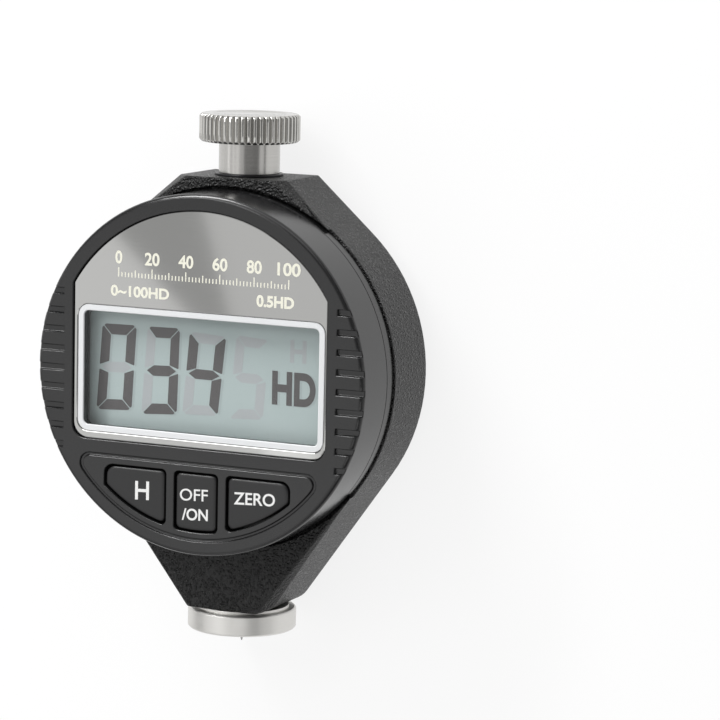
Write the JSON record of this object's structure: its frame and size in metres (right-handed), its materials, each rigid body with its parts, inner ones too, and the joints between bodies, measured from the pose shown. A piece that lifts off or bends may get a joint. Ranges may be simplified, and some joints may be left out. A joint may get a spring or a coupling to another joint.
{
  "type": "durometer",
  "caption": "Pocket digital durometer with a round display, push buttons, knurled handle knob and a spring-loaded needle in its presser foot.",
  "frame": {"origin": "on the outer face of the back cover, under the centre of the round display", "axes": "+X to the right across the display, +Y from the presser foot to the knob, +Z out of the display"},
  "size_m": [0.0592, 0.0877, 0.0268],
  "materials": {
    "crinkle_paint": "crinkle",
    "screw_steel": "satin",
    "turned_steel": "turned",
    "guide_bronze": "satin",
    "hard_steel": "ground",
    "black_steel": "satin",
    "spring_steel": "satin",
    "bracket_alloy": "satin",
    "charcoal_plastic": "satin",
    "button_plastic": "satin",
    "grey_plate": "gloss",
    "white_print": "matte",
    "clear_window": "gloss",
    "lcd_glass": "satin",
    "black_plastic": "matte",
    "pale_plastic": "matte",
    "contact_rubber": "matte",
    "board_green": "gloss",
    "cell_steel": "polished",
    "contact_brass": "satin"
  },
  "bodies": {
    "housing": {"casing": "crinkle_paint", "back_cover": "crinkle_paint", "back_cover_screw_1": "screw_steel", "back_cover_screw_2": "screw_steel", "back_cover_screw_3": "screw_steel", "back_cover_screw_4": "screw_steel", "base_screw_1": "screw_steel", "base_screw_2": "screw_steel", "base_screw_3": "screw_steel", "base_screw_4": "screw_steel", "shell_screw_1": "screw_steel", "shell_screw_2": "screw_steel", "shell_screw_3": "screw_steel", "shell_screw_4": "screw_steel", "board_screw_1": "screw_steel", "board_screw_2": "screw_steel", "board_screw_3": "screw_steel", "presser_foot": "turned_steel", "handle_post": "turned_steel", "handle_knob": "turned_steel", "post_washer": "turned_steel", "lower_guide_bush": "guide_bronze", "adjusting_screw": "guide_bronze", "measuring_spring": "spring_steel", "display_shell": "charcoal_plastic", "display_base": "charcoal_plastic", "face_plate": "grey_plate", "window_border": "white_print", "window_lens": "clear_window", "lcd_panel": "lcd_glass", "lcd_holder": "black_plastic", "battery_holder": "black_plastic", "sensor_head": "black_plastic", "hold_switch": "black_plastic", "power_switch": "black_plastic", "zero_switch": "black_plastic", "contact_strip_1": "contact_rubber", "contact_strip_2": "contact_rubber", "circuit_board": "board_green", "battery_cell": "cell_steel", "battery_contact": "contact_brass"},
    "spindle_group": {"spindle": "hard_steel", "indenter": "hard_steel", "indenter_screw": "black_steel", "sensor_bracket": "bracket_alloy", "scale_strip": "board_green", "bracket_screw": "black_steel"},
    "hold_key": {"hold_button": "button_plastic", "hold_stem": "pale_plastic"},
    "power_key": {"power_button": "button_plastic", "power_stem": "pale_plastic"},
    "zero_key": {"zero_button": "button_plastic", "zero_stem": "pale_plastic"},
    "cap": {"battery_cap": "black_plastic"}
  },
  "joints": [
    {"name": "spindle_slide", "type": "slide", "parent": "housing", "child": "spindle_group", "axis": [0, 1, 0], "range_m": [0, 0.0025], "stiffness_N_per_m": 17780, "deforming": ["measuring_spring"]},
    {"name": "hold_press", "type": "slide", "parent": "housing", "child": "hold_key", "axis": [0, 0, -1], "range_m": [0, 0.0004], "stiffness_N_per_m": 4000},
    {"name": "power_press", "type": "slide", "parent": "housing", "child": "power_key", "axis": [0, 0, -1], "range_m": [0, 0.0004], "stiffness_N_per_m": 4000},
    {"name": "zero_press", "type": "slide", "parent": "housing", "child": "zero_key", "axis": [0, 0, -1], "range_m": [0, 0.0004], "stiffness_N_per_m": 4000},
    {"name": "battery_cap_turn", "type": "hinge", "parent": "housing", "child": "cap", "pos_m": [-0.0152, 0, 0.001], "axis": [0, 0, 1], "range_deg": [0, 60]}
  ]
}
